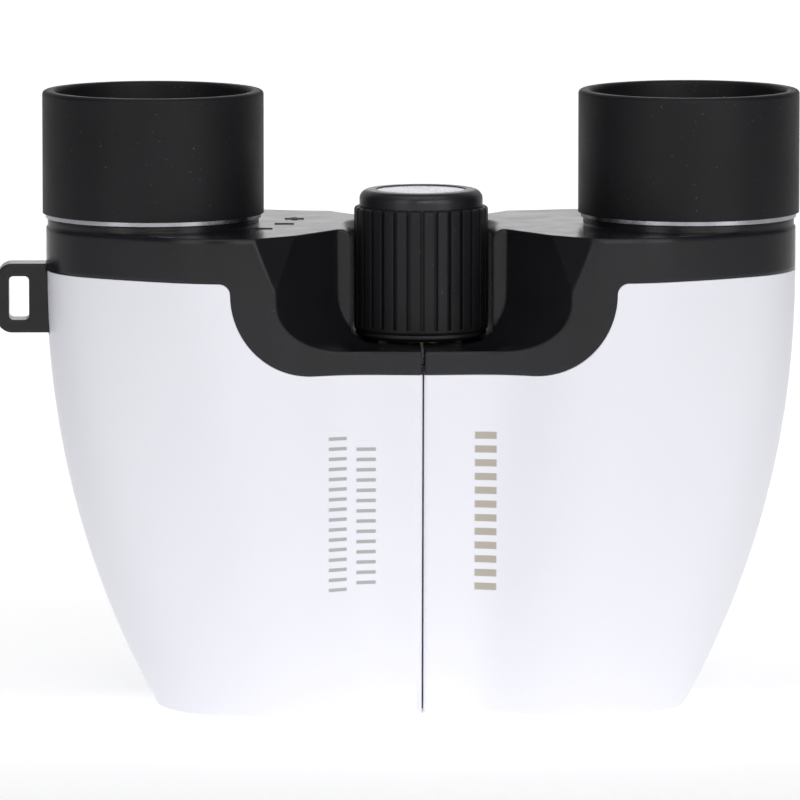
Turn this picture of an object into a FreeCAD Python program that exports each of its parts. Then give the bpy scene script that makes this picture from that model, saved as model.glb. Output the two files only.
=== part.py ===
import FreeCAD, Part
import math
import os
from FreeCAD import Vector

# Compact reverse-Porro binoculars, 10x22 class.  Millimetres.
# X runs across the pair, -Y is the face with the focus wheel, +Z points from the objectives to the
# eyecups.  The origin is on the hinge axis, in the plane the pair stands on.
# "left" and "right" are the user's: with the focus wheel upwards the right eye looks through -X.

# ---- overall sizes -------------------------------------------------------------------------------
BODY_TOP = 65.0
BOSS_TOP = 66.0
EYECUP_TOP = 83.1
EYE_X = 36.0                 # eyepiece axis, half of the 72 mm widest eye distance
OBJ_X = 20.4                 # objective axis
MAX_HALF_WIDTH = 50.4
FOOT_HALF_WIDTH = 35.6
WIDTH_FULL_AT = 60.0         # height where the flank has reached its full width
FLANK_CURVE = 2.2
BULGE_X = (20.2, 25.0)       # centre of the barrel bulge, at the foot and at the top
BULGE_DEPTH = (15.4, 20.5)
BULGE_CURVE = 1.6
END_RADIUS = (15.4, 14.4)
FLAT_DEPTH = (10.4, 18.3)    # flat strip beside the seam
SEAM_HALF = 0.1
FOLD_ANGLE = 34.5            # rear face of each half, from the YZ plane
WALL = 1.7
EDGE_RADIUS = 0.5
LONG_EDGE = 30.0
FLOOR = 1.6
LIP_HEIGHT = 2.6
LIP_ROOT = 1.2
LIP_GAP = 0.1
LIP_THICK = 1.1
TIE_BITE = 0.2
SECTION_HEIGHTS = (0.0, 4.0, 10.0, 18.0, 28.0, 38.0, 48.0, 57.0, 65.0)
PLAN_POINTS = 37
STRIP_START = -4.0           # the outline starts beyond the seam and is cut back to it
STRIP_MIDDLE = 0.4
STRIP_BLEND = (2.4, 2.6)     # easing before and after the strip meets the bulge
BULGE_STEPS = (0.0, 0.2, 0.4, 0.6, 0.8, 0.94)
FLANK_STEPS = (0.06, 0.3, 0.55, 0.8, 1.0)

# ---- black top frame -----------------------------------------------------------------------------
FRAME_LINE = 59.0            # parting line on the flank
SEAM_LINE = 46.4             # parting line beside the seam
SWEEP_X = 14.6
SWEEP_RADIUS = 11.1
SWEEP_FILLET = 1.5
PARTING_GAP = 0.04
PARTING_START = -9.0
CEILING = 63.4
BAY_FLOOR = 49.5
BAY_CORNER = 7.0
BAY_END_Y = -7.6
BAY_START_X = -5.0
BAY_DRAFT = 0.3
BAY_END_X = 11.2
BAY_DIRECTION = Vector(-0.572, 0.820, 0)
CRADLE_RADIUS = 9.5
FLARE_RADIUS = 1.5
FLARE_TURN = 120
FRAME_SEAM_HALF = 0.22
BOSS_RADIUS = 14.2
FACET_OUTER = Vector(22.9, -20.6, BODY_TOP)
FACET_INNER = Vector(15.8, -14.9, BODY_TOP)
FACET_FOOT = Vector(19.4, -19.7, 57.0)
FACET_ROOM = (12.5, 40.0, -40.0, -8.0, 53.0, 80.0)

# ---- hinge ---------------------------------------------------------------------------------------
AXLE_RADIUS = 3.0
AXLE_BORE = 2.0
AXLE_TOP = 49.2
KNUCKLE_RADIUS = 6.1
KNUCKLE_CLEAR = 6.4
HINGE_WALL = 7.3
HINGE_WALL_TOP = 47.9
RUNNING = 0.05
LEFT_KNUCKLES = ((2.85, 10.6), (36.5, 41.1))
RIGHT_KNUCKLES = ((10.8, 18.4), (41.3, 45.8))
CAP_HEIGHT = 2.2
NUT_CLEAR = 5.4
HEX_NUT_RADIUS = 5.2
HEX_NUT_Z = (46.55, 48.6)
HINGE_SCREW_RADIUS = 1.4
BORE_FOOT = 12.0
BORE_TOP = 45.6
SLOT_HALF_WIDTH = 0.4        # cross slots in the screw heads

# ---- focusing mechanism --------------------------------------------------------------------------
PIN_Z = 24.5
PIN_RADIUS = 0.75
SPINDLE_RADIUS = 1.5
SPINDLE_END = 29.0
SPINDLE_TOP = 62.0
NUT_RADIUS = 1.93
SPOOL_RADIUS = 4.0
SPOOL_FLANGE = 5.2
SPOOL_Z = (20.3, 28.7)
PIN_REACH = 3.9
ARM_LEVELS = {"left": (21.5, 24.4), "right": (24.6, 27.5)}
TRAVEL_DOWN = 1.0
TRAVEL_UP = 2.2
ARM_WINDOW = (5.5, 8.6, -3.2, 3.2, 19.9, 30.4)
ARM_RING = 5.8
ARM_BAR = (3.0, 11.0)
ARM_HALF_WIDTH = 2.5

# ---- focus wheel ---------------------------------------------------------------------------------
WHEEL_BOTTOM = 49.8
GRIP_BOTTOM = 50.8
GRIP_TOP = 67.4
GRIP_RADIUS = 9.0
WHEEL_DRUM = 7.4
WHEEL_FLANGE = 8.8
WHEEL_ROOM = 6.2
HUB_RADIUS = 3.4
CAP_RADIUS = 8.3
CAP_TOP = 69.7
RIB_COUNT = 30
GROOVE_WIDTH = 0.55
GROOVE_DEPTH = 0.7
BADGE_RADIUS = 6.0
BADGE_DEPTH = 0.6
CAP_SHOULDER = 1.3

# ---- objective -----------------------------------------------------------------------------------
BARREL_BORE = 12.0
BARREL_OUTER = 12.8
BARREL_Z = (2.9, 19.8)
CELL_RADIUS = 11.93
CELL_BOTTOM = 4.4
LENS_RADIUS = 11.0
MOUTH_RADIUS = 13.05
TRIM_BORE = 11.3
SAG_AT_HALF_RADIUS = 0.755

# ---- prisms --------------------------------------------------------------------------------------
SHELF_Z = (45.4, 46.9)
PRISM_GAP = 0.05
LIGHT_HOLE = 5.2
CLIP_THICK = 0.4
CLIP_WIDTH = 3.0
CLIP_GAP = 0.1
SCREW_POSTS = ((21.5, -14.0), (15.5, 13.3), (35.0, -11.6))
POST_RADIUS = 1.7
POST_HEAD = 1.4
POST_SCREW = 0.75
POST_FOOT = 42.0
RIB_LENGTH = 9.0
RIB_WIDTH = 1.4
RIB_CENTRE_X = 27.0          # the ribs point away from here
SCREW_TIP = 54.8
SCREW_HEAD_Z = (40.6, 41.95)
SHELF_INSET = 3.1

# ---- eyepiece ------------------------------------------------------------------------------------
TUBE_RADIUS = 9.5
TUBE_BORE = 8.0
TUBE_Z = (59.6, 76.3)
OCULAR_CELL_RADIUS = 7.93
OCULAR_CELL_Z = (60.0, 77.3)
TUBE_FLANGE = 9.7
RING_Z = (66.04, 66.6)
RING_RADIUS = 14.5
SLEEVE_RADIUS = 12.9
EYECUP_RADIUS = 14.87
EYECUP_WALL = 1.75
FACE_Z = (76.6, 78.0)
FACE_BORE = 8.3
RIM_RADIUS = 0.55

# ---- dioptre scale -------------------------------------------------------------------------------
MARK_PLACES = ((17.0, 6.6), (18.4, -0.2), (21.3, -6.6))
MARK_LENGTH = 2.6
MARK_STROKE = 0.8
MARK_HEIGHT = 0.1

# ---- strap loop ----------------------------------------------------------------------------------
LUG_WINDOW = (44.0, 60.0, -2.4, 2.4, 50.4, 60.0)
LUG_PLATE = (47.4, 57.0, -2.25, 2.25, 50.6, 59.9)
LUG_SLOT = (52.7, 55.4, -5.0, 5.0, 52.3, 58.2)
LUG_FOOT = (46.9, 48.8, -3.4, 3.4, 50.6, 58.6)
LUG_CORNER = 2.0
LUG_SLOT_CORNER = 0.6
LUG_NECK_TOP = 58.75         # inside the frame the loop stays under its edge

# ---- reach of the cutting blocks, outside the object on every side -------------------------------
BELOW = -5.0
ABOVE = 90.0
ASIDE = 90.0
AROUND = 60.0

ROOT_HALF = math.sqrt(0.5)
UP = Vector(0, 0, 1)
ORIGIN = Vector(0, 0, 0)


def between(ends, share):
    return ends[0] + (ends[1] - ends[0]) * share


def cylinder(radius, z0, z1, x=0.0, y=0.0):
    return Part.makeCylinder(radius, z1 - z0, Vector(x, y, z0))


def tube(inner, outer, z0, z1, x=0.0, y=0.0):
    return cylinder(outer, z0, z1, x, y).cut(cylinder(inner, z0 - 1, z1 + 1, x, y))


def box(x0, x1, y0, y1, z0, z1):
    return Part.makeBox(x1 - x0, y1 - y0, z1 - z0, Vector(x0, y0, z0))


def turned(points, x=0.0, y=0.0):
    """Solid of revolution about a vertical axis at (x, y) from a closed (radius, height) outline."""
    corners = [Vector(r, 0, z) for r, z in points]
    face = Part.Face(Part.makePolygon(corners + corners[:1]))
    solid = face.revolve(ORIGIN, UP, 360)
    solid.translate(Vector(x, y, 0))
    return solid


def extruded(points, z0, z1):
    corners = [Vector(x, y, z0) for x, y in points]
    return Part.Face(Part.makePolygon(corners + corners[:1])).extrude(Vector(0, 0, z1 - z0))


def joined(shapes):
    return shapes[0].multiFuse(shapes[1:]).removeSplitter()


def mirrored(shape):
    return shape.mirror(ORIGIN, Vector(1, 0, 0))


# ---- outline of one half -------------------------------------------------------------------------
def half_width(z):
    rise = max(0.0, 1 - z / WIDTH_FULL_AT)
    return MAX_HALF_WIDTH - (MAX_HALF_WIDTH - FOOT_HALF_WIDTH) * rise ** FLANK_CURVE


def outline_points(z, inset):
    """Front edge of the plan outline at height z: flat strip, barrel bulge, then the rounded flank."""
    share = z / BODY_TOP
    bulge_x = between(BULGE_X, share)
    bulge_r = between(BULGE_DEPTH, 1 - (1 - share) ** BULGE_CURVE) - inset
    end_r = between(END_RADIUS, share) - inset
    end_x = half_width(z) - inset - end_r
    flat_y = between(FLAT_DEPTH, share) - inset
    lean = math.asin((bulge_r - end_r) / max(end_x - bulge_x, 0.01))
    meet = math.acos(flat_y / bulge_r)
    blend = math.asin(math.sin(meet) - STRIP_BLEND[1] / bulge_r)
    meet_x = bulge_x - bulge_r * math.sin(meet)
    strip = (STRIP_START, meet_x * STRIP_MIDDLE, meet_x - STRIP_BLEND[0])
    points = [Vector(x, -flat_y, z) for x in strip]
    for step in BULGE_STEPS:
        angle = between((-blend, lean), step)
        points.append(Vector(bulge_x + bulge_r * math.sin(angle), -bulge_r * math.cos(angle), z))
    for step in FLANK_STEPS:
        angle = between((lean, math.pi / 2), step)
        points.append(Vector(end_x + end_r * math.sin(angle), -end_r * math.cos(angle), z))
    return points


def plan_points(z, inset):
    front = outline_points(z, inset)
    return front + [Vector(p.x, -p.y, z) for p in reversed(front[:-1])]


def plan_wire(z, inset):
    """Closed outline; its curve passes through evenly spaced points, so the loft runs smoothly."""
    draft = Part.BSplineCurve()
    draft.interpolate(plan_points(z, inset))
    chain = draft.toShape().discretize(Number=PLAN_POINTS)
    curve = Part.BSplineCurve()
    curve.interpolate(Points=chain, Parameters=[float(step) for step in range(PLAN_POINTS)])
    return Part.Wire([curve.toShape(), Part.makeLine(chain[-1], chain[0])])


def hull(inset):
    return Part.makeLoft([plan_wire(z, inset) for z in SECTION_HEIGHTS], True, False)


def wedge(inset):
    """Plan room of one half: beyond the seam in front and beyond the slanted fold face behind."""
    slant = math.radians(FOLD_ANGLE)
    near = SEAM_HALF + inset
    apex = (near, -near * math.tan(slant / 2))
    far = (near / math.cos(slant) + AROUND * math.tan(slant), AROUND)
    corners = [(near, -AROUND), (ASIDE, -AROUND), (ASIDE, AROUND), far, apex]
    return extruded(corners, BELOW, ABOVE)


def inner_half(inset):
    return hull(inset).common(wedge(inset))


# ---- parting line between the white shell and the black frame ------------------------------------
def below_parting(shift):
    """Everything under the parting line moved up by shift."""
    y0 = -AROUND
    low = Vector(PARTING_START, y0, BELOW)
    line_z = SEAM_LINE + shift
    centre_z = line_z + SWEEP_RADIUS
    side_x = SWEEP_X + SWEEP_RADIUS
    flank_z = FRAME_LINE + shift
    start = Vector(PARTING_START, y0, line_z)
    sweep_from = Vector(SWEEP_X, y0, line_z)
    sweep_mid = Vector(SWEEP_X + SWEEP_RADIUS * ROOT_HALF, y0, centre_z - SWEEP_RADIUS * ROOT_HALF)
    corner_x = side_x + SWEEP_FILLET * (1 - ROOT_HALF)
    sweep_to = Vector(side_x, y0, centre_z)
    turn_mid = Vector(corner_x, y0, centre_z + SWEEP_FILLET * ROOT_HALF)
    turn_to = Vector(side_x + SWEEP_FILLET, y0, flank_z)
    far_high = Vector(ASIDE, y0, flank_z)
    far_low = Vector(ASIDE, y0, BELOW)
    edges = [
        Part.makeLine(low, start),
        Part.makeLine(start, sweep_from),
        Part.Arc(sweep_from, sweep_mid, sweep_to).toShape(),
        Part.Arc(sweep_to, turn_mid, turn_to).toShape(),
        Part.makeLine(turn_to, far_high),
        Part.makeLine(far_high, far_low),
        Part.makeLine(far_low, low),
    ]
    return Part.Face(Part.Wire(edges)).extrude(Vector(0, 2 * AROUND, 0))


# ---- wheel bay -----------------------------------------------------------------------------------
def cradle_flare(grow):
    """Rounded top edge of the cradle, as a cutter."""
    radius = CRADLE_RADIUS + grow
    crest = BODY_TOP + 0.05
    slack = 2.0
    easing = FLARE_RADIUS * (1 - ROOT_HALF)
    low = Vector(radius, 0, crest - FLARE_RADIUS)
    side = Vector(radius + easing, 0, crest - easing)
    high = Vector(radius + FLARE_RADIUS, 0, crest)
    corners = [high, high + Vector(0, 0, slack), Vector(radius - slack, 0, crest + slack),
               Vector(radius - slack, 0, low.z), low]
    edges = [Part.Arc(low, side, high).toShape()]
    edges += [Part.makeLine(start, end) for start, end in zip(corners, corners[1:])]
    face = Part.Face(Part.Wire(edges))
    around = face.revolve(ORIGIN, UP, FLARE_TURN)
    return around.fuse(face.extrude(Vector(0, BAY_END_Y - 1, 0)))


def bay(grow):
    """Room for the focus wheel and the fingers, grown by grow to leave the wall around it."""
    y0 = -AROUND
    slope = BAY_DIRECTION.x / BAY_DIRECTION.y
    wall_x = BAY_END_X + (y0 - BAY_END_Y) * slope + grow / BAY_DIRECTION.y
    floor = BAY_FLOOR - grow
    corner = BAY_CORNER + grow
    foot = Vector(wall_x - corner, y0, floor)
    rise = Vector(wall_x, y0, floor + corner)
    middle = Vector(wall_x - corner * (1 - ROOT_HALF), y0, floor + corner * (1 - ROOT_HALF))
    edges = [
        Part.makeLine(Vector(BAY_START_X, y0, floor), foot),
        Part.Arc(foot, middle, rise).toShape(),
        Part.makeLine(rise, Vector(wall_x + BAY_DRAFT, y0, ABOVE)),
        Part.makeLine(Vector(wall_x + BAY_DRAFT, y0, ABOVE), Vector(BAY_START_X, y0, ABOVE)),
        Part.makeLine(Vector(BAY_START_X, y0, ABOVE), Vector(BAY_START_X, y0, floor)),
    ]
    length = (BAY_END_Y + grow - y0) / BAY_DIRECTION.y
    swept = Part.Face(Part.Wire(edges)).extrude(BAY_DIRECTION * length)
    radius = CRADLE_RADIUS + grow
    way_in = box(-radius, radius, BAY_END_Y - 1, 0, floor, ABOVE)
    cradle = way_in.fuse(cylinder(radius, floor, ABOVE))
    return swept.fuse(cradle).fuse(cradle_flare(grow))


def facet(grow):
    """Sloping facet that opens the front corner of the bay towards the top."""
    normal = (FACET_INNER - FACET_OUTER).cross(FACET_FOOT - FACET_OUTER)
    normal.normalize()
    if normal.y > 0:
        normal = normal * -1
    block = box(-AROUND, AROUND, -AROUND, AROUND, 0, AROUND)
    block.Placement = FreeCAD.Placement(FACET_FOOT - normal * grow, FreeCAD.Rotation(UP, normal))
    return block.common(box(*FACET_ROOM))


def post(x, y, z0, z1, skin):
    """Screw post tied to the nearest wall by a rib."""
    rib = box(0, RIB_LENGTH, -RIB_WIDTH / 2, RIB_WIDTH / 2, z0, z1)
    rib.rotate(ORIGIN, UP, math.degrees(math.atan2(y, x - RIB_CENTRE_X)))
    rib.translate(Vector(x, y, 0))
    return cylinder(POST_RADIUS, z0, z1, x, y).fuse(rib).common(skin)


def knuckled(half, own, z_top):
    """Open the hinge room for the other half's knuckles and add this half's own."""
    lowest = BELOW
    rooms = []
    for z0, z1 in sorted(own):
        rooms.append(cylinder(KNUCKLE_CLEAR, lowest, z0))
        lowest = z1
    rooms.append(cylinder(KNUCKLE_CLEAR, lowest, z_top))
    half = half.cut(Part.makeCompound(rooms))
    rings = [cylinder(KNUCKLE_RADIUS, z0, z1) for z0, z1 in own]
    half = half.multiFuse(rings)
    return half.cut(cylinder(AXLE_RADIUS + RUNNING, BELOW, z_top))


def softened(half):
    """Round the seam edge, the rear edge, the foot and the top edge of the moulding."""
    long_edges = [e for e in half.Edges if e.Length > LONG_EDGE]
    outer_edges = [e for e in long_edges if e.BoundBox.XMax > 1 or e.BoundBox.YMin < -1]
    return half.makeFillet(EDGE_RADIUS, outer_edges)


OUTER = softened(hull(0.0).common(wedge(0.0)))
CAVITY = inner_half(WALL).cut(cylinder(HINGE_WALL, BELOW, HINGE_WALL_TOP))
SKIN = inner_half(WALL / 2)


# ---- white shell ---------------------------------------------------------------------------------
def body_shell(side):
    shell = OUTER.common(below_parting(-PARTING_GAP))
    room = CAVITY.common(box(0, ASIDE, -AROUND, AROUND, FLOOR, ABOVE))
    shell = shell.cut(room)
    shell = shell.cut(cylinder(MOUTH_RADIUS, BELOW, FLOOR + 1, OBJ_X))
    shell = shell.cut(box(*ARM_WINDOW))
    posts = [post(x, y, POST_FOOT, SHELF_Z[0] - PRISM_GAP, SKIN) for x, y in SCREW_POSTS]
    shell = shell.multiFuse(posts)
    for x, y in SCREW_POSTS:
        shell = shell.cut(cylinder(POST_SCREW + RUNNING, 38, 50, x, y))
    if side == "left":
        return knuckled(shell, LEFT_KNUCKLES, BODY_TOP)
    shell = shell.cut(box(*LUG_WINDOW))
    return mirrored(knuckled(shell, RIGHT_KNUCKLES, BODY_TOP))


# ---- black top frame -----------------------------------------------------------------------------
def top_frame(side):
    above = OUTER.cut(below_parting(PARTING_GAP)).cut(bay(0.0)).cut(facet(0.0))
    room = CAVITY.common(box(0, ASIDE, -AROUND, AROUND, BELOW, CEILING))
    frame = above.cut(room.cut(bay(WALL)).cut(facet(WALL)))
    band = below_parting(LIP_ROOT).cut(below_parting(-LIP_HEIGHT))
    core = inner_half(WALL + LIP_THICK)
    lip = inner_half(WALL + LIP_GAP).cut(core)
    tie = inner_half(WALL - TIE_BITE).cut(core)
    lip = lip.common(band).cut(cylinder(HINGE_WALL + 0.3, 0, 60))
    for x, y in SCREW_POSTS:
        lip = lip.cut(cylinder(POST_RADIUS + 2.9, 40, SHELF_Z[0] + 1, x, y))
    if side == "right":
        lip = lip.cut(box(40, 60, -3.6, 3.6, 45, 60))
    tie = tie.common(below_parting(LIP_ROOT).cut(below_parting(PARTING_GAP)))
    tie = tie.cut(cylinder(HINGE_WALL, 0, 60))
    boss = cylinder(BOSS_RADIUS, BODY_TOP - 1, BOSS_TOP, EYE_X)
    inner_skin = hull(WALL + LIP_GAP)
    posts = [post(x, y, SHELF_Z[1] + PRISM_GAP, CEILING + 0.5, inner_skin) for x, y in SCREW_POSTS]
    frame = frame.multiFuse([lip, tie, boss] + posts).cut(bay(0.0)).cut(facet(0.0))
    frame = frame.cut(cylinder(TUBE_RADIUS + RUNNING, CEILING - 0.1, 70, EYE_X))
    frame = frame.cut(cylinder(NUT_CLEAR, 40, 60))
    frame = frame.cut(box(-1, FRAME_SEAM_HALF, -60, 0, 40, 60))
    for x, y in SCREW_POSTS:
        frame = frame.cut(cylinder(POST_SCREW, 40, 55.2, x, y))
    return frame if side == "left" else mirrored(frame)


# ---- prisms --------------------------------------------------------------------------------------
PRISM_STEP = (EYE_X - OBJ_X) / 2
PRISM_WIDTH = PRISM_STEP * math.sqrt(2) - 0.1
UPPER = (OBJ_X + PRISM_STEP / 2, PRISM_STEP / 2, SHELF_Z[1] + PRISM_GAP)
LOWER = (EYE_X - PRISM_STEP / 2, PRISM_STEP / 2, SHELF_Z[0] - PRISM_GAP)


def roof(grow, width, heading, x, y, z, up):
    """Right-angle prism: its long face lies level at z and its ridge stands up (or hangs down)."""
    half = (PRISM_STEP + grow) * math.sqrt(2)
    sign = 1 if up else -1
    near = -width / 2
    corners = [Vector(-half, near, 0), Vector(half, near, 0), Vector(0, near, sign * half)]
    solid = Part.Face(Part.makePolygon(corners + corners[:1])).extrude(Vector(0, width, 0))
    solid.rotate(ORIGIN, UP, heading)
    solid.translate(Vector(x, y, z))
    return solid


def clip(heading, place, up):
    outer = roof(CLIP_GAP + CLIP_THICK, CLIP_WIDTH, heading, *place, up)
    inner = roof(CLIP_GAP, CLIP_WIDTH + 2, heading, *place, up)
    return outer.cut(inner)


def prism_parts():
    shelf_room = inner_half(SHELF_INSET).cut(cylinder(HINGE_WALL + 0.4, 0, 60))
    shelf = shelf_room.common(box(0, ASIDE, -AROUND, AROUND, *SHELF_Z))
    for x, y in ((OBJ_X, 0), (OBJ_X + PRISM_STEP, PRISM_STEP), (EYE_X, 0)):
        shelf = shelf.cut(cylinder(LIGHT_HOLE, 40, 50, x, y))
    for x, y in SCREW_POSTS:
        shelf = shelf.cut(cylinder(POST_SCREW + RUNNING, 40, 50, x, y))
    screws = [cylinder(POST_SCREW, SCREW_HEAD_Z[1] - 0.05, SCREW_TIP, x, y).fuse(
              cylinder(POST_HEAD, *SCREW_HEAD_Z, x, y)) for x, y in SCREW_POSTS]
    return {
        "prism_shelf": shelf,
        "upper_prism": roof(0.0, PRISM_WIDTH, 45, *UPPER, True),
        "lower_prism": roof(0.0, PRISM_WIDTH, -45, *LOWER, False),
        "prism_clips": Part.makeCompound([clip(45, UPPER, True), clip(-45, LOWER, False)]),
        "housing_screws": Part.makeCompound(screws),
    }


# ---- objective -----------------------------------------------------------------------------------
def lens(edge_low, edge_high, sag_low, sag_high, radius, x):
    """Lens blank with spherical faces; a positive sag bulges upwards."""
    arcs = []
    for edge, sag in ((edge_low, sag_low), (edge_high, sag_high)):
        pole = Vector(0, 0, edge + sag)
        middle = Vector(radius / 2, 0, edge + sag * SAG_AT_HALF_RADIUS)
        arcs.append(Part.Arc(pole, middle, Vector(radius, 0, edge)).toShape())
    rim = Part.makeLine(Vector(radius, 0, edge_low), Vector(radius, 0, edge_high))
    axis = Part.makeLine(Vector(0, 0, edge_high + sag_high), Vector(0, 0, edge_low + sag_low))
    edges = [arcs[0], rim, arcs[1], axis]
    solid = Part.Face(Part.Wire(Part.__sortEdges__(edges))).revolve(ORIGIN, UP, 360)
    solid.translate(Vector(x, 0, 0))
    return solid


def focus_arm(level):
    z0, z1 = level
    ring = cylinder(ARM_RING, z0, z1)
    bar = box(*ARM_BAR, -ARM_HALF_WIDTH, ARM_HALF_WIDTH, z0, z1)
    foot = tube(9.7, CELL_RADIUS - 0.1, z0, z1, OBJ_X)
    foot = foot.common(box(OBJ_X - 13, OBJ_X - 8.0, -13, 13, z0, z1))
    arm = joined([ring, bar, foot])
    return arm.cut(cylinder(SPOOL_RADIUS + RUNNING, z0 - 1, z1 + 1))


def objective_parts(side):
    level = ARM_LEVELS[side]
    profile = [(LENS_RADIUS, CELL_BOTTOM), (CELL_RADIUS, CELL_BOTTOM), (CELL_RADIUS, level[0]),
               (9.6, level[0]), (9.6, 10.1), (LENS_RADIUS, 10.1)]
    trim = tube(TRIM_BORE, MOUTH_RADIUS - 0.1, 0.15, 2.85, OBJ_X)
    return {
        "focus_arm": focus_arm(level),
        "objective_cell": turned(profile, OBJ_X),
        "objective_crown_lens": lens(6.9, 7.6, -1.3, 1.2, LENS_RADIUS, OBJ_X),
        "objective_flint_lens": lens(7.64, 9.9, 1.2, 0.15, LENS_RADIUS, OBJ_X),
        "objective_retaining_ring": tube(10.3, LENS_RADIUS, 5.2, 6.7, OBJ_X),
        "objective_barrel": tube(BARREL_BORE, BARREL_OUTER, *BARREL_Z, OBJ_X),
        "objective_trim_ring": trim,
    }


# ---- eyepiece ------------------------------------------------------------------------------------
def eyepiece_parts(side):
    flange_z = (CEILING - 1.5, CEILING - 0.05)
    seat = turned([(TUBE_BORE, TUBE_Z[0]), (TUBE_RADIUS, TUBE_Z[0]), (TUBE_RADIUS, flange_z[0]),
                   (TUBE_FLANGE, flange_z[0]), (TUBE_FLANGE, flange_z[1]), (TUBE_RADIUS, flange_z[1]),
                   (TUBE_RADIUS, TUBE_Z[1]), (TUBE_BORE, TUBE_Z[1])], EYE_X)
    cell = turned([(6.6, 60.6), (7.0, 60.6), (7.0, OCULAR_CELL_Z[0]), (OCULAR_CELL_RADIUS, OCULAR_CELL_Z[0]),
                   (OCULAR_CELL_RADIUS, OCULAR_CELL_Z[1]), (6.4, OCULAR_CELL_Z[1]), (6.4, 76.7), (7.0, 76.7),
                   (7.0, 72.0), (6.0, 72.0), (6.0, 66.0), (6.6, 66.0)], EYE_X)
    sleeve_bore = TUBE_RADIUS + RUNNING
    sleeve_foot = RING_Z[1] + 0.05
    sleeve = turned([(sleeve_bore, sleeve_foot), (SLEEVE_RADIUS, sleeve_foot), (SLEEVE_RADIUS, FACE_Z[1]),
                     (9.4, FACE_Z[1]), (FACE_BORE, FACE_Z[0] + 0.4), (FACE_BORE, FACE_Z[0]),
                     (sleeve_bore, FACE_Z[0])], EYE_X)
    ring = tube(sleeve_bore, RING_RADIUS, *RING_Z, EYE_X)
    if side == "right":
        ring = ring.cut(cylinder(0.5, 60, 70, EYE_X - RING_RADIUS - 0.1))
    inner = EYECUP_RADIUS - EYECUP_WALL
    fit = SLEEVE_RADIUS + 0.03
    cup_foot = RING_Z[1] + 0.04
    cup = turned([(fit, cup_foot), (EYECUP_RADIUS, cup_foot), (EYECUP_RADIUS, EYECUP_TOP),
                  (inner, EYECUP_TOP), (fit - 0.3, FACE_Z[1] + 0.06), (fit, FACE_Z[1] + 0.06)], EYE_X)
    rim = [e for e in cup.Edges if abs(e.BoundBox.ZMin - EYECUP_TOP) < 0.01 and e.BoundBox.ZLength < 0.01]
    cup = cup.makeFillet(RIM_RADIUS, rim)
    return {
        "eyepiece_tube": seat,
        "ocular_cell": cell,
        "field_lens": lens(61.6, 62.6, -0.4, 2.0, 6.55, EYE_X),
        "eye_lens": lens(73.8, 74.8, -1.4, 1.3, 6.95, EYE_X),
        "eyepiece_sleeve": sleeve,
        "ocular_ring": ring,
        "eyecup": cup,
    }


# ---- pieces of one side only ---------------------------------------------------------------------
def strap_lug():
    """Strap loop on the right flank; its foot is held behind a window in the shell."""
    plate = box(*LUG_PLATE)
    corners = [e for e in plate.Edges if e.BoundBox.YLength > 4 and e.BoundBox.XMin > 56]
    plate = plate.makeFillet(LUG_CORNER, corners)
    slot = box(*LUG_SLOT)
    slot = slot.makeFillet(LUG_SLOT_CORNER, [e for e in slot.Edges if e.BoundBox.YLength > 4])
    foot = box(*LUG_FOOT).common(hull(WALL + RUNNING))
    lug = joined([plate.cut(slot), foot])
    under_frame = box(LUG_WINDOW[0], ASIDE, -9, 9, LUG_NECK_TOP, BODY_TOP)
    return mirrored(lug.cut(under_frame.common(OUTER)))


def dioptre_marks():
    """Plus sign, index bar and minus sign printed on the frame beside the right eyepiece."""
    z0 = BODY_TOP
    z1 = BODY_TOP + MARK_HEIGHT
    half = MARK_LENGTH / 2
    stroke = MARK_STROKE / 2
    marks = [box(x - half, x + half, y - stroke, y + stroke, z0, z1) for x, y in MARK_PLACES]
    x, y = MARK_PLACES[0]
    marks[0] = joined([marks[0], box(x - stroke, x + stroke, y - half, y + half, z0, z1)])
    return mirrored(Part.makeCompound(marks))


# ---- hinge ---------------------------------------------------------------------------------------
def cross_slot(reach, z0, z1):
    """Cutter for the cross slot in a screw head."""
    along = box(-reach, reach, -SLOT_HALF_WIDTH, SLOT_HALF_WIDTH, z0, z1)
    across = box(-SLOT_HALF_WIDTH, SLOT_HALF_WIDTH, -reach, reach, z0, z1)
    return along.fuse(across)


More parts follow.
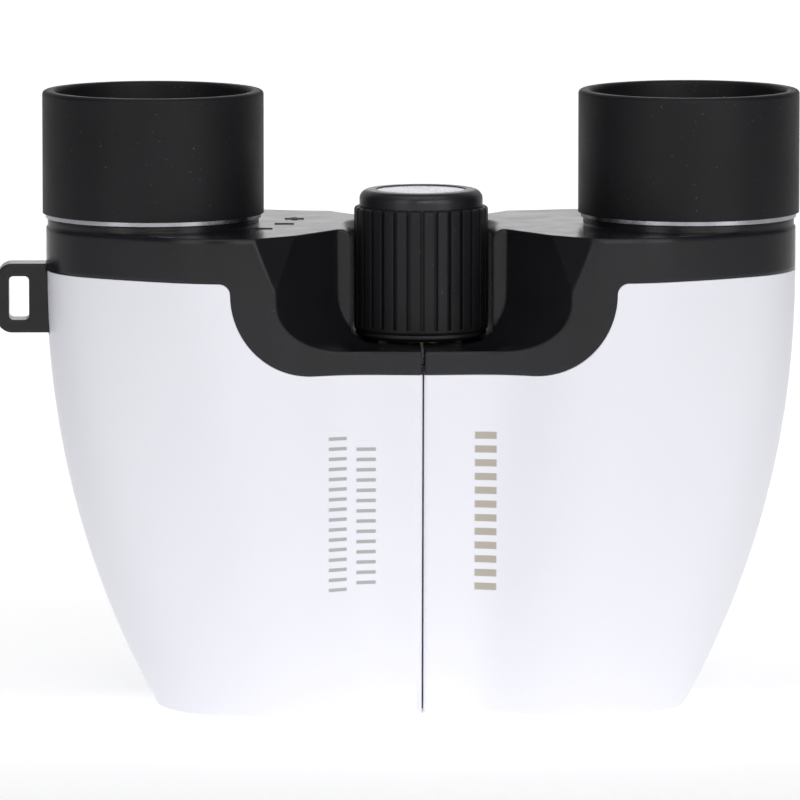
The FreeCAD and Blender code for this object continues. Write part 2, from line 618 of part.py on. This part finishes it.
def hinge_parts():
    slot_low = PIN_Z - PIN_RADIUS - TRAVEL_DOWN - 0.3
    slot_high = PIN_Z + PIN_RADIUS + TRAVEL_UP + 0.3
    spindle_bore = SPINDLE_RADIUS + RUNNING
    pin_room = PIN_RADIUS + 0.1
    axle = turned([(0, BORE_FOOT), (0, 10.5), (HINGE_SCREW_RADIUS, 10.5), (HINGE_SCREW_RADIUS, 2.25),
                   (AXLE_RADIUS, 2.25), (AXLE_RADIUS, AXLE_TOP), (spindle_bore, AXLE_TOP),
                   (spindle_bore, BORE_TOP), (AXLE_BORE, BORE_TOP), (AXLE_BORE, BORE_FOOT)])
    axle = axle.cut(box(-5, 5, -pin_room, pin_room, slot_low, slot_high))
    end_cap = turned([(0, 0), (KNUCKLE_RADIUS, 0), (KNUCKLE_RADIUS, CAP_HEIGHT), (5.0, CAP_HEIGHT),
                      (5.0, 0.9), (0, 0.9)])
    screw = turned([(0, 1.05), (3.9, 1.05), (3.9, 2.2), (HINGE_SCREW_RADIUS, 2.2),
                    (HINGE_SCREW_RADIUS, 9.5), (0, 9.5)])
    screw = screw.cut(cross_slot(2.6, 0.5, 1.7))
    corners = [k * math.pi / 3 for k in range(6)]
    hexagon = [(HEX_NUT_RADIUS * math.cos(k), HEX_NUT_RADIUS * math.sin(k)) for k in corners]
    nut = extruded(hexagon, *HEX_NUT_Z).cut(cylinder(AXLE_RADIUS, 40, 60))
    return {
        "hinge_axle": axle,
        "hinge_end_cap": end_cap,
        "hinge_screw": screw,
        "hinge_washer": tube(AXLE_RADIUS, 6.0, 45.95, 46.35),
        "hinge_nut": nut,
        "focus_friction_washer": tube(SPINDLE_RADIUS + RUNNING, 4.8, AXLE_TOP + 0.03, AXLE_TOP + 0.4),
    }


# ---- focus wheel and carriage --------------------------------------------------------------------
def focus_parts():
    spindle = turned([(0, SPINDLE_END), (SPINDLE_RADIUS, SPINDLE_END), (SPINDLE_RADIUS, 44.0),
                      (NUT_RADIUS, 44.0), (NUT_RADIUS, 45.5), (SPINDLE_RADIUS, 45.5),
                      (SPINDLE_RADIUS, SPINDLE_TOP), (0, SPINDLE_TOP)])
    core = turned([(SPINDLE_RADIUS, WHEEL_BOTTOM), (8.0, WHEEL_BOTTOM), (WHEEL_FLANGE, WHEEL_BOTTOM + 0.5),
                   (WHEEL_FLANGE, GRIP_BOTTOM - 0.05), (WHEEL_DRUM, GRIP_BOTTOM - 0.05),
                   (WHEEL_DRUM, GRIP_TOP - 0.1), (WHEEL_ROOM, GRIP_TOP - 0.1), (WHEEL_ROOM, 54.0),
                   (HUB_RADIUS, 54.0), (HUB_RADIUS, SPINDLE_TOP), (SPINDLE_RADIUS, SPINDLE_TOP)])
    grip = tube(WHEEL_DRUM, GRIP_RADIUS, GRIP_BOTTOM, GRIP_TOP)
    ends = [e for e in grip.Edges if e.BoundBox.ZLength < 0.01 and e.BoundBox.XLength > 2 * GRIP_RADIUS - 0.1]
    grip = grip.makeFillet(0.4, ends)
    groove = box(GRIP_RADIUS - GROOVE_DEPTH, GRIP_RADIUS + 1, -GROOVE_WIDTH / 2, GROOVE_WIDTH / 2,
                 GRIP_BOTTOM + 0.6, GRIP_TOP + 1)
    grooves = []
    for index in range(RIB_COUNT):
        cutter = groove.copy()
        cutter.rotate(ORIGIN, UP, 360.0 * (index + 0.5) / RIB_COUNT)
        grooves.append(cutter)
    grip = grip.cut(Part.makeCompound(grooves))
    cap_foot = GRIP_TOP + 0.02
    badge_seat = CAP_TOP - BADGE_DEPTH
    cap = turned([(0, cap_foot), (CAP_RADIUS, cap_foot), (CAP_RADIUS, CAP_TOP), (BADGE_RADIUS, CAP_TOP),
                  (BADGE_RADIUS, badge_seat), (0, badge_seat)])
    shoulder = [e for e in cap.Edges if abs(e.BoundBox.ZMin - CAP_TOP) < 0.01 and e.BoundBox.XLength > 15]
    cap = cap.makeFillet(CAP_SHOULDER, shoulder)
    cap = cap.fuse(cylinder(WHEEL_ROOM - RUNNING, GRIP_TOP - 3.0, GRIP_TOP + 0.1))
    screw = cylinder(3.2, SPINDLE_TOP + RUNNING, 63.4).cut(cross_slot(2.4, 62.8, 64))
    spool_bore = AXLE_RADIUS + RUNNING
    spool = turned([(spool_bore, SPOOL_Z[0]), (SPOOL_FLANGE, SPOOL_Z[0]), (SPOOL_FLANGE, 21.35),
                    (SPOOL_RADIUS, 21.35), (SPOOL_RADIUS, 27.65), (SPOOL_FLANGE, 27.65),
                    (SPOOL_FLANGE, SPOOL_Z[1]), (spool_bore, SPOOL_Z[1])])
    pin = cylinder(PIN_RADIUS, -PIN_REACH, PIN_REACH)
    pin.rotate(ORIGIN, Vector(0, 1, 0), 90)
    pin.translate(Vector(0, 0, PIN_Z))
    nut = cylinder(NUT_RADIUS, 21.5, 35.5).cut(cylinder(SPINDLE_RADIUS + RUNNING, 26.0, 36.0))
    return {
        "focus_spindle": spindle,
        "focus_wheel_core": core,
        "focus_wheel_grip": grip,
        "focus_wheel_cap": cap,
        "focus_wheel_badge": cylinder(BADGE_RADIUS - RUNNING, badge_seat + 0.02, CAP_TOP - 0.12),
        "focus_wheel_screw": screw,
        "focus_spool": spool.cut(pin),
        "focus_cross_pin": pin,
        "focus_nut": nut.cut(pin),
    }


def side_parts(side):
    both = {}
    for group in (objective_parts(side), prism_parts(), eyepiece_parts(side)):
        both.update(group)
    if side == "right":
        both = {name: mirrored(shape) for name, shape in both.items()}
    both["body_shell"] = body_shell(side)
    both["top_frame"] = top_frame(side)
    return {side + "_" + name: shape for name, shape in both.items()}


nodes = {}
nodes.update(hinge_parts())
nodes.update(focus_parts())
nodes.update(side_parts("left"))
nodes.update(side_parts("right"))
nodes["right_strap_lug"] = strap_lug()
nodes["right_dioptre_marks"] = dioptre_marks()

os.makedirs("parts", exist_ok=True)
for name, shape in nodes.items():
    shape.exportStep("parts/" + name + ".step")
    print(name, len(shape.Solids), shape.isValid(), round(shape.Volume, 1))
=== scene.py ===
import bpy
import math
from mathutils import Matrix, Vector

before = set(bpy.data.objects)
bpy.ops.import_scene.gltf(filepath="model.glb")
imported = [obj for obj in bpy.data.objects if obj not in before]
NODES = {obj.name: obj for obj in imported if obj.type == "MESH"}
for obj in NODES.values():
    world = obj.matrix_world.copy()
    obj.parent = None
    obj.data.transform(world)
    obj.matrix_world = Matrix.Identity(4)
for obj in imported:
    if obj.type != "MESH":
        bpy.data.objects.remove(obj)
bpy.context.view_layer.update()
MM = 0.001
FULL_TURN = 2 * math.pi
EYE_X = 36.0                        # mm from the hinge to each eyepiece axis
NOISE_CORE = (0.3, 0.7)             # where most of a noise's values lie


def colour(r, g, b):
    return (r, g, b, 1.0)


# ---- node helpers --------------------------------------------------------------------------------
class Graph:
    """Small builder for one procedural material in object space (metres)."""

    def __init__(self, name):
        self.material = bpy.data.materials.new(name)
        self.material.use_nodes = True
        self.tree = self.material.node_tree
        self.shader = self.tree.nodes["Principled BSDF"]
        self.place = self.add("ShaderNodeTexCoord").outputs["Object"]

    def add(self, kind, **settings):
        node = self.tree.nodes.new(kind)
        for key, value in settings.items():
            setattr(node, key, value)
        return node

    def feed(self, socket, value):
        if isinstance(value, bpy.types.NodeSocket):
            self.tree.links.new(value, socket)
        else:
            socket.default_value = value

    def maths(self, operation, first, second=0.0):
        node = self.add("ShaderNodeMath", operation=operation)
        for socket, value in zip(node.inputs, (first, second)):
            self.feed(socket, value)
        return node.outputs[0]

    def spread(self, value, low, high, from_low=0.0, from_high=1.0):
        """Value carried, with clamped ends, from one range to low..high."""
        node = self.add("ShaderNodeMapRange")
        ends = {"From Min": from_low, "From Max": from_high, "To Min": low, "To Max": high}
        for key, number in ends.items():
            node.inputs[key].default_value = number
        self.feed(node.inputs["Value"], value)
        return node.outputs["Result"]

    def noise(self, size_mm, detail=3.0, roughness=0.5):
        node = self.add("ShaderNodeTexNoise")
        node.inputs["Scale"].default_value = 1.0 / (size_mm * MM)
        node.inputs["Detail"].default_value = detail
        node.inputs["Roughness"].default_value = roughness
        self.feed(node.inputs["Vector"], self.place)
        return node.outputs["Fac"]

    def mix(self, share, first, second):
        node = self.add("ShaderNodeMix", data_type="RGBA")
        self.feed(node.inputs[0], share)
        self.feed(node.inputs[6], first)
        self.feed(node.inputs[7], second)
        return node.outputs[2]

    def uneven(self, patch, limits):
        """A number that drifts between its limits with the patch noise."""
        return self.spread(patch, *limits, *NOISE_CORE)

    def mottle(self, patch, base, change):
        """The base colour, drifting to change times as bright with the patch noise."""
        other = colour(*(channel * change for channel in base))
        return self.mix(self.uneven(patch, (0, 1)), colour(*base), other)

    def ripple(self, length, pitch_mm):
        """A wave of the given pitch along a length in metres."""
        return self.maths("SINE", self.maths("MULTIPLY", length, FULL_TURN / (pitch_mm * MM)))

    def bump(self, height, depth_mm, strength=1.0, normal=None):
        node = self.add("ShaderNodeBump")
        node.inputs["Distance"].default_value = depth_mm * MM
        node.inputs["Strength"].default_value = strength
        self.feed(node.inputs["Height"], height)
        if normal is not None:
            self.feed(node.inputs["Normal"], normal)
        return node.outputs["Normal"]

    def soft_edges(self, radius_mm):
        node = self.add("ShaderNodeBevel", samples=4)
        node.inputs["Radius"].default_value = radius_mm * MM
        return node.outputs["Normal"]

    def axes(self):
        node = self.add("ShaderNodeSeparateXYZ")
        self.feed(node.inputs[0], self.place)
        return node.outputs

    def around(self, x_mm):
        """Radius from a vertical axis at x_mm, in metres."""
        x, y, _ = self.axes()
        across = self.maths("SUBTRACT", x, x_mm * MM)
        return self.maths("SQRT", self.maths("ADD", self.maths("MULTIPLY", across, across),
                                             self.maths("MULTIPLY", y, y)))

    def inside(self, value, low_mm, high_mm, soft_mm=0.08):
        """1 where value (metres) lies between the limits, with a thin soft edge."""
        rise = self.spread(value, 0.0, 1.0, (low_mm - soft_mm) * MM, (low_mm + soft_mm) * MM)
        fall = self.spread(value, 1.0, 0.0, (high_mm - soft_mm) * MM, (high_mm + soft_mm) * MM)
        return self.maths("MULTIPLY", rise, fall)

    def set(self, **sockets):
        for key, value in sockets.items():
            self.feed(self.shader.inputs[key.replace("_", " ")], value)
        return self.material


# ---- materials -----------------------------------------------------------------------------------
PRINT_FRONT = -4.0                  # mm; only faces in front of this carry print
DASH_BLUR = 0.06                    # mm at each end of a dash
INK_COVER = 0.92                    # share of the shell's colour that the ink hides
INK_ROUGHER = 0.16                  # what the ink adds to the shell's roughness
INK_DEPTH = 0.02                    # mm
INK_GOLD = colour(0.46, 0.41, 0.34)
INK_GREY = colour(0.42, 0.41, 0.40)
# Columns of dashes in mm: (x from, x to, z from, z to, dashes, share of the pitch inked).
LEFT_PRINT = [(6.9, 9.8, 17.0, 39.5, 12, 0.52)]
RIGHT_PRINT = [(-12.6, -10.2, 17.0, 38.9, 16, 0.34), (-8.9, -6.3, 17.8, 37.4, 14, 0.34)]

SHELL_WHITE = (0.885, 0.886, 0.945)
SHELL_WHITE_LIGHTER = (0.90, 0.90, 0.955)
SHELL_SPECK = (0.6, 0.6, 0.62)
PALE_DUST = (0.3, 0.3, 0.3)
PALE_LINT = (0.32, 0.32, 0.33)

BADGE_SHADE = (0.36, 0.34, 0.47)
BADGE_LUSTRE = (0.62, 0.60, 0.72)
BADGE_RING = (0.28, 0.27, 0.36)
BADGE_RINGS = ((4.7, 5.0), (2.2, 2.4))      # mm, inner and outer radius
BADGE_LOBES = 3.0


def print_mask(g, columns):
    """1 on the dashes of the printed columns, 0 elsewhere."""
    x, y, z = g.axes()
    front = g.maths("LESS_THAN", y, PRINT_FRONT * MM)
    total = None
    for x0, x1, z0, z1, dashes, inked in columns:
        pitch = (z1 - z0) / dashes
        soft = DASH_BLUR / pitch
        step = g.maths("FRACT", g.maths("DIVIDE", g.maths("SUBTRACT", z, z0 * MM), pitch * MM))
        ink = g.maths("MULTIPLY", g.spread(step, 0, 1, 0.0, soft),
                      g.spread(step, 1, 0, inked, inked + soft))
        part = g.maths("MULTIPLY", g.inside(x, x0, x1), g.inside(z, z0, z1))
        part = g.maths("MULTIPLY", part, ink)
        total = part if total is None else g.maths("MAXIMUM", total, part)
    return g.maths("MULTIPLY", total, front)


def white_shell(name, columns, ink):
    """Glossy white plastic with a faint orange peel, a few specks and the printed dashes."""
    g = Graph(name)
    cloud = g.spread(g.noise(26.0, detail=2.0), 0, 1, 0.1, 0.9)
    shade = g.mix(cloud, colour(*SHELL_WHITE), colour(*SHELL_WHITE_LIGHTER))
    speck = g.spread(g.noise(0.45, detail=2.0), 0, 0.06, 0.62, 0.95)
    shade = g.mix(speck, shade, colour(*SHELL_SPECK))
    mask = print_mask(g, columns)
    shade = g.mix(g.maths("MULTIPLY", mask, INK_COVER), shade, ink)
    gloss = g.spread(g.noise(12.0, detail=3.0, roughness=0.5), 0.30, 0.36)
    gloss = g.maths("ADD", gloss, g.maths("MULTIPLY", mask, INK_ROUGHER))
    peel = g.noise(1.3, detail=1.0)
    normal = g.bump(peel, depth_mm=0.004, strength=0.5, normal=g.soft_edges(0.15))
    normal = g.bump(mask, INK_DEPTH, strength=0.5, normal=normal)
    return g.set(Base_Color=shade, Roughness=gloss, Normal=normal, IOR=1.36)


def satin_black(name, base, rough, grain_mm=0.28, grain_depth=0.006, edge_mm=0.25):
    """Black plastic or lacquer with a fine grain and a little pale dust."""
    g = Graph(name)
    shade = g.mottle(g.noise(14.0, detail=3.0), base, change=1.5)
    dust = g.spread(g.noise(0.4, detail=2.0), 0, 0.12, 0.7, 0.8)
    shade = g.mix(dust, shade, colour(*PALE_DUST))
    grain = g.noise(grain_mm, detail=2.0, roughness=0.6)
    normal = g.bump(grain, grain_depth, strength=0.7, normal=g.soft_edges(edge_mm))
    return g.set(Base_Color=shade, Roughness=g.uneven(g.noise(5.0, detail=4.0, roughness=0.6), rough),
                 Normal=normal, IOR=1.48)


def rubber(name, base, rough, moulding_rings=False):
    """Dull black rubber with lint on it, and faint level rings where it was moulded round."""
    g = Graph(name)
    shade = g.mottle(g.noise(11.0, detail=3.0), base, change=1.45)
    lint = g.spread(g.noise(0.35, detail=1.0), 0, 0.22, 0.74, 0.82)
    shade = g.mix(lint, shade, colour(*PALE_LINT))
    grain = g.noise(0.22, detail=2.0, roughness=0.6)
    normal = g.bump(grain, depth_mm=0.008, strength=0.6, normal=g.soft_edges(0.2))
    if moulding_rings:
        height = g.axes()[2]
        normal = g.bump(g.ripple(height, pitch_mm=1.1), depth_mm=0.004, strength=0.25, normal=normal)
    return g.set(Base_Color=shade, Roughness=g.uneven(g.noise(6.0, detail=4.0, roughness=0.6), rough),
                 Normal=normal, IOR=1.34, Sheen_Weight=0.02, Sheen_Roughness=0.5)


def turned_metal(name, base, rough, axis_x):
    """Metal with fine turning marks round the vertical axis at axis_x, in mm."""
    g = Graph(name)
    shade = g.mottle(g.noise(3.0, detail=3.0), base, change=0.85)
    marks = g.ripple(g.around(axis_x), pitch_mm=0.16)
    normal = g.bump(marks, depth_mm=0.003, strength=0.5, normal=g.soft_edges(0.08))
    return g.set(Base_Color=shade, Roughness=g.uneven(g.noise(1.8, detail=4.0, roughness=0.7), rough),
                 Metallic=1.0, Normal=normal)


def lens_glass(name, tint, film_nm):
    """Clear glass, slightly smeared, under a thin coating that many nanometres thick."""
    g = Graph(name)
    smear = g.noise(6.0, detail=4.0, roughness=0.7)
    return g.set(Base_Color=g.mottle(smear, tint, change=0.96),
                 Roughness=g.spread(smear, 0.01, 0.05, 0.45, 0.75), IOR=1.52,
                 Transmission_Weight=1.0, Thin_Film_Thickness=film_nm, Thin_Film_IOR=1.38)


def badge_disc(name):
    """Pearly disc with a turned lustre and two plain rings."""
    g = Graph(name)
    radius = g.around(0.0)
    x, y, _ = g.axes()
    angle = g.maths("ARCTAN2", y, x)
    fan = g.spread(g.maths("SINE", g.maths("MULTIPLY", angle, BADGE_LOBES)), 0, 1, -1, 1)
    shade = g.mix(fan, colour(*BADGE_SHADE), colour(*BADGE_LUSTRE))
    ring = g.maths("MAXIMUM", *(g.inside(radius, low, high, soft_mm=0.05) for low, high in BADGE_RINGS))
    shade = g.mix(ring, shade, colour(*BADGE_RING))
    marks = g.ripple(radius, pitch_mm=0.14)
    return g.set(Base_Color=shade, Roughness=g.uneven(g.noise(1.2, detail=3.0), (0.18, 0.32)),
                 Metallic=0.55, Normal=g.bump(marks, depth_mm=0.003, strength=0.4),
                 Coat_Weight=0.5, Coat_Roughness=0.08)


BRIGHT = {"base": (0.60, 0.60, 0.64), "rough": (0.20, 0.32)}
MATERIALS = {
    "left_shell": white_shell("white_shell_left", LEFT_PRINT, INK_GOLD),
    "right_shell": white_shell("white_shell_right", RIGHT_PRINT, INK_GREY),
    "frame": satin_black("satin_black_frame", (0.0060, 0.0060, 0.0074), (0.20, 0.27), edge_mm=0.6),
    "plastic": satin_black("black_moulding", (0.012, 0.012, 0.013), (0.38, 0.5)),
    "cap": satin_black("wheel_cap_black", (0.012, 0.012, 0.0135), (0.26, 0.36),
                       grain_mm=0.3, grain_depth=0.004, edge_mm=0.3),
    "eyecup": rubber("eyecup_rubber", (0.0050, 0.0050, 0.0062), (0.44, 0.54), moulding_rings=True),
    "grip": rubber("wheel_grip_rubber", (0.010, 0.010, 0.0115), (0.34, 0.44)),
    "ring_left": turned_metal("bright_ring_left", **BRIGHT, axis_x=EYE_X),
    "ring_right": turned_metal("bright_ring_right", **BRIGHT, axis_x=-EYE_X),
    "steel": turned_metal("turned_steel", (0.56, 0.56, 0.58), (0.22, 0.38), axis_x=0.0),
    "brass": turned_metal("turned_brass", (0.72, 0.52, 0.24), (0.22, 0.36), axis_x=0.0),
    "dark": satin_black("matt_black_lacquer", (0.010, 0.010, 0.010), (0.6, 0.75),
                        grain_mm=0.2, grain_depth=0.01, edge_mm=0.1),
    "glass": lens_glass("clear_lens", (0.97, 0.985, 0.98), film_nm=110.0),
    "coated": lens_glass("coated_lens", (0.93, 0.90, 0.97), film_nm=145.0),
    "badge": badge_disc("wheel_disc"),
    "ink": satin_black("dioptre_print", (0.006, 0.006, 0.007), (0.5, 0.6),
                       grain_mm=0.1, grain_depth=0.003, edge_mm=0.02),
}

# Looks of the nodes that come in pairs, by name without the side.
SIDE_LOOKS = {
    "top_frame": "frame", "objective_barrel": "dark", "objective_trim_ring": "plastic",
    "prism_shelf": "dark", "upper_prism": "glass", "lower_prism": "glass", "prism_clips": "steel",
    "housing_screws": "steel", "eyepiece_tube": "plastic", "ocular_cell": "dark",
    "field_lens": "glass", "eye_lens": "coated", "eyepiece_sleeve": "plastic", "eyecup": "eyecup",
    "focus_arm": "steel", "objective_cell": "dark", "objective_crown_lens": "coated",
    "objective_flint_lens": "glass", "objective_retaining_ring": "dark",
}
# Looks of the nodes that there is only one of.
SINGLE_LOOKS = {
    "hinge_axle": "steel", "hinge_end_cap": "plastic", "hinge_screw": "steel",
    "hinge_washer": "steel", "hinge_nut": "steel", "focus_friction_washer": "brass",
    "focus_spindle": "steel", "focus_wheel_core": "plastic", "focus_wheel_grip": "grip",
    "focus_wheel_cap": "cap", "focus_wheel_badge": "badge", "focus_wheel_screw": "steel",
    "focus_spool": "brass", "focus_cross_pin": "steel", "focus_nut": "brass",
    "right_strap_lug": "frame", "right_dioptre_marks": "ink",
}


def look_of(node):
    if node in SINGLE_LOOKS:
        return SINGLE_LOOKS[node]
    side, piece = node.split("_", 1)
    if piece == "body_shell":
        return side + "_shell"
    if piece == "ocular_ring":
        return "ring_" + side
    return SIDE_LOOKS[piece]


for node_name, node_object in NODES.items():
    mesh = node_object.data
    mesh.materials.clear()
    mesh.materials.append(MATERIALS[look_of(node_name)])
    mesh.polygons.foreach_set("use_smooth", [True] * len(mesh.polygons))


# ---- studio (metres and watts) -------------------------------------------------------------------
SWEEP_HALF_WIDTH = 2.6
SWEEP_FRONT = -2.2
SWEEP_BEND_START = 1.7              # far enough back for a camera behind the object
SWEEP_BEND_RADIUS = 0.5
SWEEP_BEND_STEPS = 12
SWEEP_TOP = 2.4
GLOW_MIDDLE = 0.74                  # emission of the sheet right behind the object
GLOW_SIDE = 0.16                    # and out to its sides
GLOW_SIDES = (0.12, 0.34)           # |x| over which the first falls to the second
GLOW_FRONT_SHARE = 0.25             # share of the glow left in front of the object
GLOW_DEPTHS = (-0.30, 0.25)         # y over which it grows to the whole
SHEET_TONES = ((0.93, 0.93, 0.93), (0.95, 0.95, 0.95))

CENTRE = (0.0, 0.0, 0.042)          # what the softboxes point at
SOFTBOXES = [                       # name, place, width, height, power
    ("left_softbox", (-0.70, -0.95, 0.45), 0.5, 0.9, 2.1),
    ("right_softbox", (0.75, -0.90, 0.45), 0.5, 0.9, 2.8),
    ("top_softbox", (0.0, -0.25, 1.1), 1.2, 0.8, 3.3),
    ("front_softbox", (0.20, -1.30, 0.55), 0.7, 0.5, 3.7),
]
SKY_COLOUR = (0.93, 0.94, 1.0)
SKY_STRENGTH = 0.12


def studio_white(name):
    """Pale sheet, brightest behind the object, so the backdrop is white and the flanks stay readable."""
    g = Graph(name)
    tone = g.mix(g.noise(80.0, detail=2.0), *(colour(*shade) for shade in SHEET_TONES))
    x, y, _ = g.axes()
    behind = g.spread(y, 0.0, 1.0, *GLOW_DEPTHS)
    glow = g.spread(g.maths("ABSOLUTE", x), GLOW_MIDDLE, GLOW_SIDE, *GLOW_SIDES)
    glow = g.maths("MULTIPLY", glow, g.spread(behind, GLOW_FRONT_SHARE, 1.0))
    return g.set(Base_Color=tone, Roughness=0.9, Emission_Color=colour(1, 1, 1),
                 Emission_Strength=glow)


def sweep(name):
    """Floor that curves up into a backdrop behind the object."""
    profile = [(SWEEP_FRONT, 0.0), (SWEEP_BEND_START, 0.0)]
    for step in range(1, SWEEP_BEND_STEPS + 1):
        angle = math.pi / 2 * step / SWEEP_BEND_STEPS
        profile.append((SWEEP_BEND_START + SWEEP_BEND_RADIUS * math.sin(angle),
                        SWEEP_BEND_RADIUS - SWEEP_BEND_RADIUS * math.cos(angle)))
    profile.append((SWEEP_BEND_START + SWEEP_BEND_RADIUS, SWEEP_TOP))
    points = []
    for y, z in profile:
        points += [(-SWEEP_HALF_WIDTH, y, z), (SWEEP_HALF_WIDTH, y, z)]
    faces = [(2 * i, 2 * i + 1, 2 * i + 3, 2 * i + 2) for i in range(len(profile) - 1)]
    sheet_mesh = bpy.data.meshes.new(name)
    sheet_mesh.from_pydata(points, [], faces)
    sheet_mesh.polygons.foreach_set("use_smooth", [True] * len(sheet_mesh.polygons))
    sheet = bpy.data.objects.new(name, sheet_mesh)
    bpy.context.scene.collection.objects.link(sheet)
    sheet_mesh.materials.append(studio_white("studio_white"))
    return sheet


sweep("studio_sweep")


def softbox(name, place, width, height, power):
    light = bpy.data.lights.new(name, "AREA")
    light.shape = "RECTANGLE"
    light.size = width
    light.size_y = height
    light.energy = power
    lamp = bpy.data.objects.new(name, light)
    bpy.context.scene.collection.objects.link(lamp)
    lamp.location = place
    lamp.rotation_euler = (Vector(CENTRE) - Vector(place)).to_track_quat("-Z", "Y").to_euler()


for box in SOFTBOXES:
    softbox(*box)

world = bpy.data.worlds.new("studio")
bpy.context.scene.world = world
world.use_nodes = True
sky = world.node_tree.nodes["Background"].inputs
sky["Color"].default_value = colour(*SKY_COLOUR)
sky["Strength"].default_value = SKY_STRENGTH

# ---- camera --------------------------------------------------------------------------------------
DISTANCE = 1.300                    # metres
AZIMUTH = math.radians(-1.0)
ELEVATION = math.radians(6.8)
AIM = Vector((-2.83 * MM, 0.0, 41.1 * MM))
LENS = 434.0                        # mm, a long lens
SENSOR = 36.0                       # mm
NEAR_CLIP = 0.05                    # metres
camera_data = bpy.data.cameras.new("camera")
camera_data.lens = LENS
camera_data.sensor_width = SENSOR
camera_data.clip_start = NEAR_CLIP
camera = bpy.data.objects.new("camera", camera_data)
bpy.context.scene.collection.objects.link(camera)
back = Vector((math.sin(AZIMUTH) * math.cos(ELEVATION), -math.cos(AZIMUTH) * math.cos(ELEVATION),
               math.sin(ELEVATION)))
camera.location = AIM + back * DISTANCE
camera.rotation_euler = (-back).to_track_quat("-Z", "Y").to_euler()
bpy.context.scene.camera = camera
bpy.context.scene.view_settings.view_transform = "Standard"
